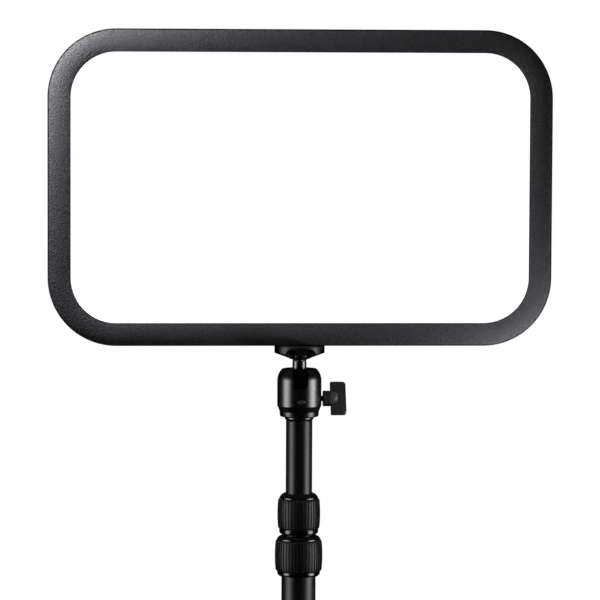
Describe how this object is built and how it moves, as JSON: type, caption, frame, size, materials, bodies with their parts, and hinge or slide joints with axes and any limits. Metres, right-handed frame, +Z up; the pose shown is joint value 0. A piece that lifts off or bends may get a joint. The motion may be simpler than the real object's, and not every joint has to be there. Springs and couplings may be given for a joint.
{
  "type": "led panel light with pole and desk clamp",
  "caption": "Flat rounded LED panel light with an opal front, on a small ball head with a wing knob and a telescopic twist-lock pole in a screw desk clamp.",
  "frame": {"origin": "on the desk's upper surface under the upper jaw's pad, on the pole's centre line", "axes": "+Z up along the pole, the panel shines towards -Y, +X towards the side with the wing knob"},
  "size_m": [0.38, 0.0838, 0.8386],
  "materials": {
    "black_coat": "fine-grained matt black coat",
    "black_plastic": "fine-grained black plastic",
    "black_lacquer": "glossy black",
    "black_tube": "satin black",
    "clamp_paint": "satin black powder coat",
    "dark_steel": "blackened steel",
    "bright_steel": "plain steel",
    "brass": "machined brass",
    "bare_aluminium": "mill finish",
    "rubber": "soft black rubber",
    "opal": "opal white, lit",
    "clear_acrylic": "clear acrylic",
    "window": "smoked clear plastic",
    "white_plastic": "white plastic",
    "board": "green board",
    "component": "black component body",
    "button": "glossy black"
  },
  "bodies": {
    "clamp_and_lower_tube": {"clamp_frame": "clamp_paint", "jaw_pad": "rubber", "pole_socket": "black_tube", "pole_bolt": "bright_steel", "lower_tube": "black_tube", "lower_ferrule": "dark_steel", "lower_collet": "white_plastic"},
    "pressure_pad": {"pressure_plate": "dark_steel", "plate_pad": "rubber"},
    "clamp_screw": {"clamp_spindle": "bright_steel", "clamp_knob": "black_plastic"},
    "lower_lock": {"lower_collar": "black_lacquer", "lower_grip": "rubber"},
    "middle_section": {"middle_tube": "black_tube", "middle_end_plug": "black_plastic", "upper_ferrule": "dark_steel", "upper_collet": "white_plastic"},
    "upper_lock": {"upper_collar": "black_lacquer", "upper_grip": "rubber"},
    "upper_slider": {"upper_end_plug": "black_plastic"},
    "upper_section": {"upper_tube": "black_tube", "base_plug": "dark_steel", "ball_housing": "black_lacquer", "ball_cup": "white_plastic", "wedge_slug": "brass", "set_screw": "bright_steel"},
    "lock_knob": {"lock_knob": "black_plastic", "lock_screw": "bright_steel"},
    "ball": {"ball_stem": "dark_steel"},
    "panel": {"platform": "black_lacquer", "platform_pad": "rubber", "mount_stud": "bright_steel", "front_bezel": "black_coat", "diffuser_sheet": "opal", "light_guide": "clear_acrylic", "reflector_sheet": "white_plastic", "back_plate": "bare_aluminium", "led_strip_left": "white_plastic", "led_strip_right": "white_plastic", "back_cover": "black_plastic", "rear_housing": "black_plastic", "mount_block": "bare_aluminium", "tripod_socket": "brass", "driver_board": "board", "heat_sink": "bare_aluminium", "control_board": "board", "display_window": "window", "display_module": "component", "brightness_encoder": "component", "temperature_encoder": "component", "power_switch": "component", "dc_jack": "component", "led_harness": "component", "cover_screw_1": "dark_steel", "cover_screw_2": "dark_steel", "cover_screw_3": "dark_steel", "cover_screw_4": "dark_steel"},
    "brightness_dial": {"brightness_dial": "rubber"},
    "temperature_dial": {"temperature_dial": "rubber"},
    "power_button": {"power_button": "button"}
  },
  "joints": [
    {"name": "clamp_plate_slide", "type": "slide", "parent": "clamp_and_lower_tube", "child": "pressure_pad", "axis": [0, 0, 1], "range_m": [-0.03, 0.02]},
    {"name": "clamp_screw_turn", "type": "hinge", "parent": "pressure_pad", "child": "clamp_screw", "pos_m": [0, -0.018, -0.08], "axis": [0, 0, 1], "continuous": true},
    {"name": "lower_collar_twist", "type": "hinge", "parent": "clamp_and_lower_tube", "child": "lower_lock", "pos_m": [0, 0, 0.3145], "axis": [0, 0, 1], "range_deg": [0, 150]},
    {"name": "middle_tube_slide", "type": "slide", "parent": "clamp_and_lower_tube", "child": "middle_section", "axis": [0, 0, 1], "range_m": [0, 0.25]},
    {"name": "upper_collar_twist", "type": "hinge", "parent": "middle_section", "child": "upper_lock", "pos_m": [0, 0, 0.3465], "axis": [0, 0, 1], "range_deg": [0, 150]},
    {"name": "upper_tube_slide", "type": "slide", "parent": "middle_section", "child": "upper_slider", "axis": [0, 0, 1], "range_m": [-0.05, 0.205]},
    {"name": "upper_tube_turn", "type": "hinge", "parent": "upper_slider", "child": "upper_section", "pos_m": [0, 0, 0.2745], "axis": [0, 0, 1], "continuous": true},
    {"name": "lock_knob_turn", "type": "hinge", "parent": "upper_section", "child": "lock_knob", "pos_m": [0.026, 0, 0.43485], "axis": [1, 0, 0], "range_deg": [0, 540]},
    {"name": "ball_tilt", "type": "hinge", "parent": "upper_section", "child": "ball", "pos_m": [0, 0, 0.4475], "axis": [1, 0, 0], "range_deg": [-20, 85]},
    {"name": "panel_swivel", "type": "hinge", "parent": "ball", "child": "panel", "pos_m": [0, 0, 0.4475], "axis": [0, 0, 1], "continuous": true},
    {"name": "brightness_dial_turn", "type": "hinge", "parent": "panel", "child": "brightness_dial", "pos_m": [-0.042, 0.028, 0.5776], "axis": [0, 1, 0], "continuous": true},
    {"name": "temperature_dial_turn", "type": "hinge", "parent": "panel", "child": "temperature_dial", "pos_m": [0.042, 0.028, 0.5776], "axis": [0, 1, 0], "continuous": true},
    {"name": "power_button_press", "type": "slide", "parent": "panel", "child": "power_button", "axis": [0, -1, 0], "range_m": [0, 0.0007], "stiffness_N_per_m": 400, "springref_m": -0.0008}
  ],
  "couplings": [
    {"joint": "clamp_screw_turn", "follows": "clamp_plate_slide", "rad_per_m": 3141.6}
  ]
}
